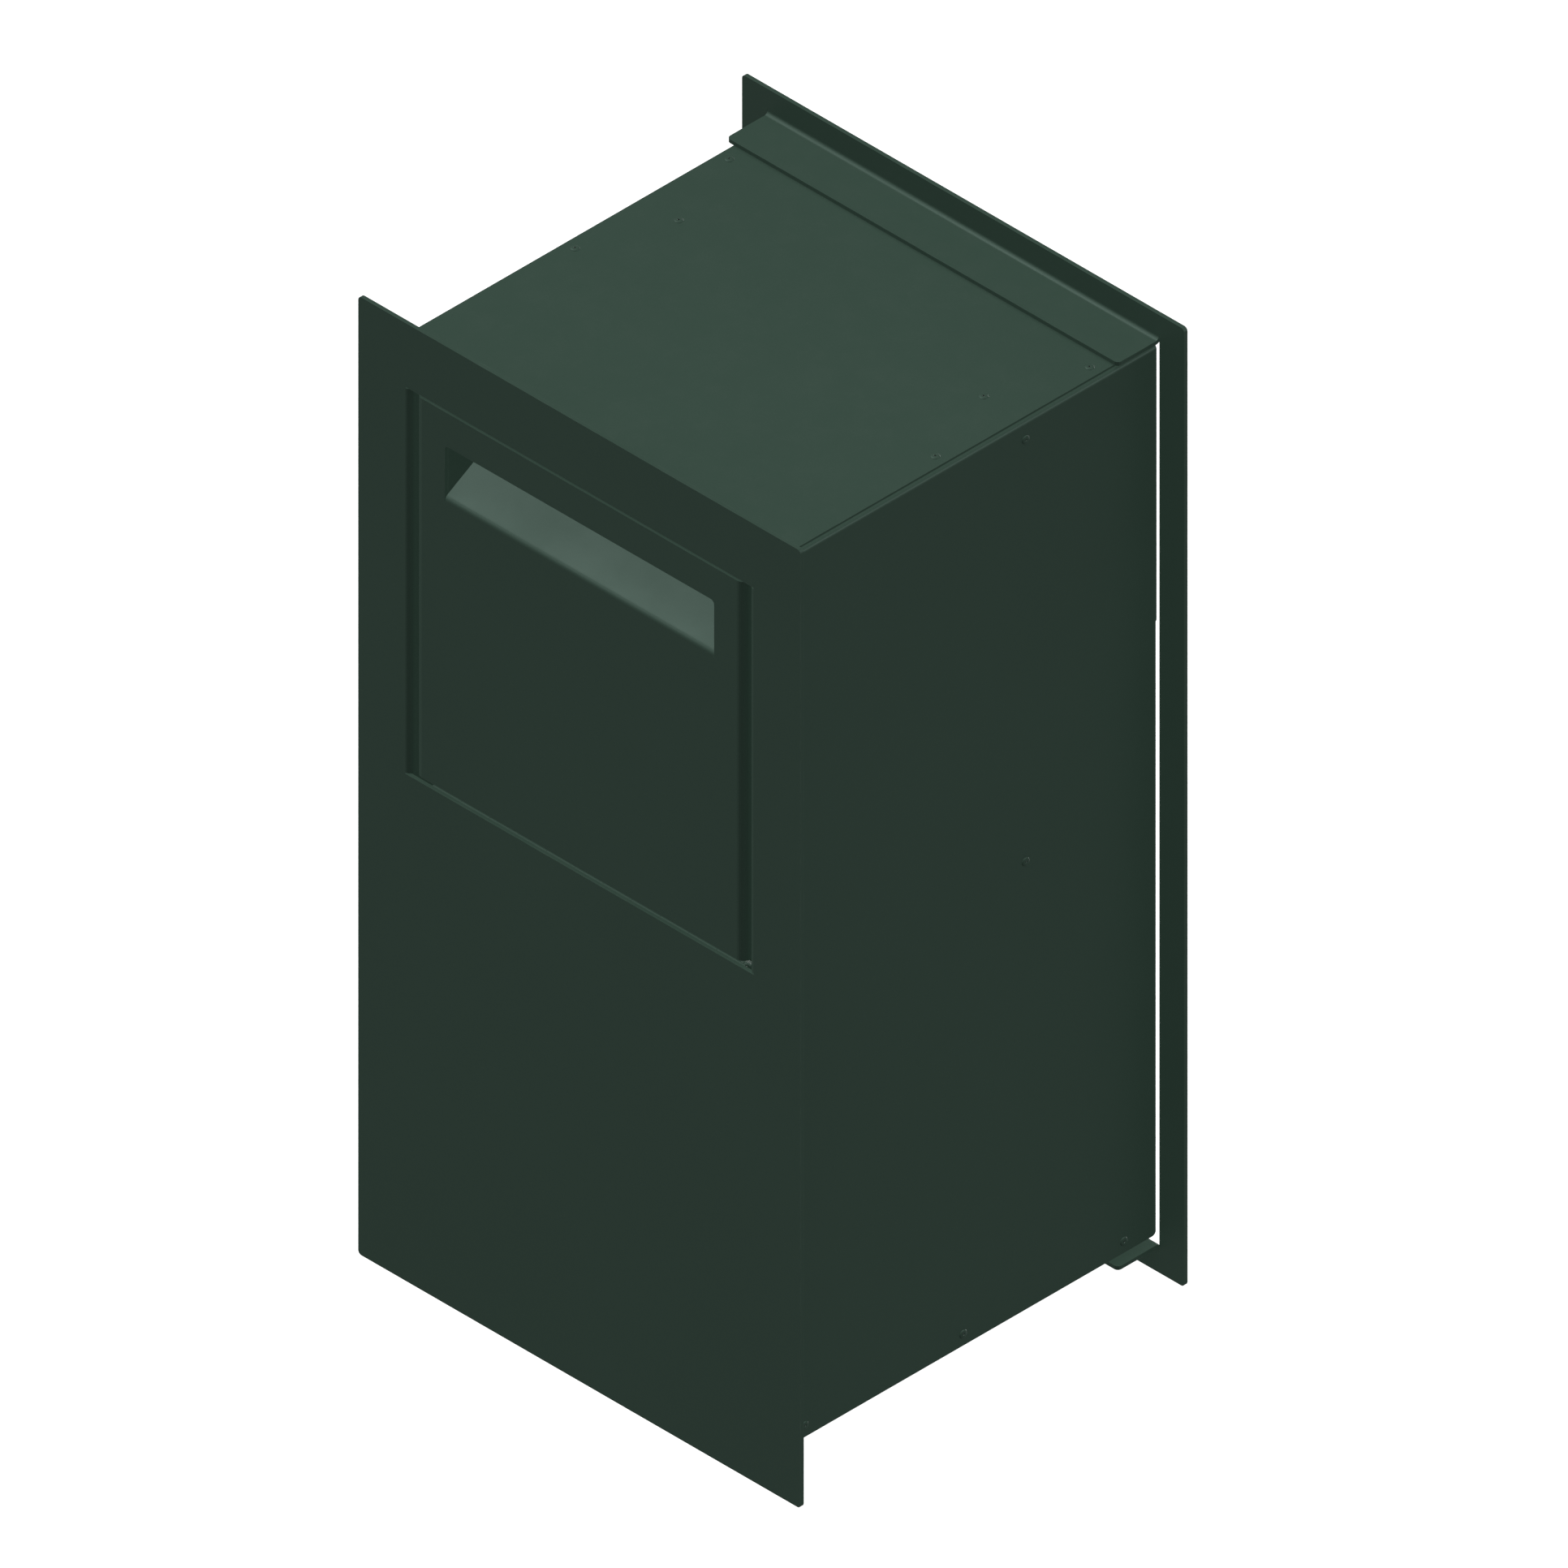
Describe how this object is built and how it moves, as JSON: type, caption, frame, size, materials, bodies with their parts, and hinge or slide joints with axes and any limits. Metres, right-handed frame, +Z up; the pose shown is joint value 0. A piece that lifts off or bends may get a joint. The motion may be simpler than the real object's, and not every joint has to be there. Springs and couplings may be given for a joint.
{
  "type": "parcel drop box",
  "caption": "Through-wall parcel drop box: hopper door with a letter slot at the front, locking access door and sliding wall trim at the rear.",
  "frame": {"origin": "centre of the underside of the overall box", "axes": "-Y out of the street-side face, +X to that face's right-hand side, +Z up"},
  "size_m": [0.4064, 0.3556, 0.762],
  "materials": {
    "powder_coat": "dark green powder coat, fine satin texture",
    "rivet": "blind rivet heads, painted over in the body's green",
    "hinge_steel": "bare rolled hinge steel",
    "pin_steel": "drawn steel pin",
    "lock_chrome": "bright plated lock face",
    "zinc": "dull zinc plate",
    "rubber": "black moulded rubber"
  },
  "bodies": {
    "box": {"bottom_pan": "powder_coat", "front_face_plate": "powder_coat", "front_hinge_fixed_leaf": "hinge_steel", "front_hinge_pin": "pin_steel", "header_stop_strip": "powder_coat", "hinge_packing_bar": "powder_coat", "interior_baffle": "powder_coat", "left_side_panel": "powder_coat", "lock_strike": "powder_coat", "rear_hinge_fixed_leaf": "hinge_steel", "rear_hinge_pin": "pin_steel", "rear_sill": "powder_coat", "right_side_panel": "powder_coat", "rivet_left_baffle_lower": "rivet", "rivet_left_baffle_upper": "rivet", "rivet_left_pan_1": "rivet", "rivet_left_pan_2": "rivet", "rivet_left_pan_3": "rivet", "rivet_right_baffle_lower": "rivet", "rivet_right_baffle_upper": "rivet", "rivet_right_pan_1": "rivet", "rivet_right_pan_2": "rivet", "rivet_right_pan_3": "rivet", "rivet_top_left_1": "rivet", "rivet_top_left_2": "rivet", "rivet_top_left_3": "rivet", "rivet_top_left_baffle": "rivet", "rivet_top_right_1": "rivet", "rivet_top_right_2": "rivet", "rivet_top_right_3": "rivet", "rivet_top_right_baffle": "rivet", "top_panel": "powder_coat", "tray_bumper_left": "rubber", "tray_bumper_right": "rubber", "tray_stop_left": "powder_coat", "tray_stop_right": "powder_coat", "upper_back_panel": "powder_coat"},
    "hopper_door": {"hopper_door_panel": "powder_coat", "slot_end_left": "powder_coat", "slot_end_right": "powder_coat", "hopper_left_cheek": "powder_coat", "hopper_right_cheek": "powder_coat", "hopper_tray": "powder_coat", "front_hinge_moving_leaf": "hinge_steel"},
    "rear_door": {"rear_door_panel": "powder_coat", "rear_hinge_moving_leaf": "hinge_steel", "lock_housing": "lock_chrome", "lock_nut": "zinc"},
    "lock_barrel": {"lock_plug": "lock_chrome", "lock_cam": "zinc", "lock_cam_screw": "zinc"},
    "wall_trim": {"rear_trim_frame": "powder_coat"}
  },
  "joints": [
    {"name": "hopper_hinge", "type": "hinge", "parent": "box", "child": "hopper_door", "pos_m": [0, -0.1683, 0.395], "axis": [1, 0, 0], "range_deg": [0, 45]},
    {"name": "rear_door_hinge", "type": "hinge", "parent": "box", "child": "rear_door", "pos_m": [-0.17288, 0.1746, 0.282], "axis": [0, 0, 1], "range_deg": [0, 105]},
    {"name": "lock_turn", "type": "hinge", "parent": "rear_door", "child": "lock_barrel", "pos_m": [0.15, 0.1729, 0.282], "axis": [0, 1, 0], "range_deg": [-90, 0]},
    {"name": "trim_slide", "type": "slide", "parent": "box", "child": "wall_trim", "axis": [0, 1, 0], "range_m": [-0.15, 0]}
  ]
}
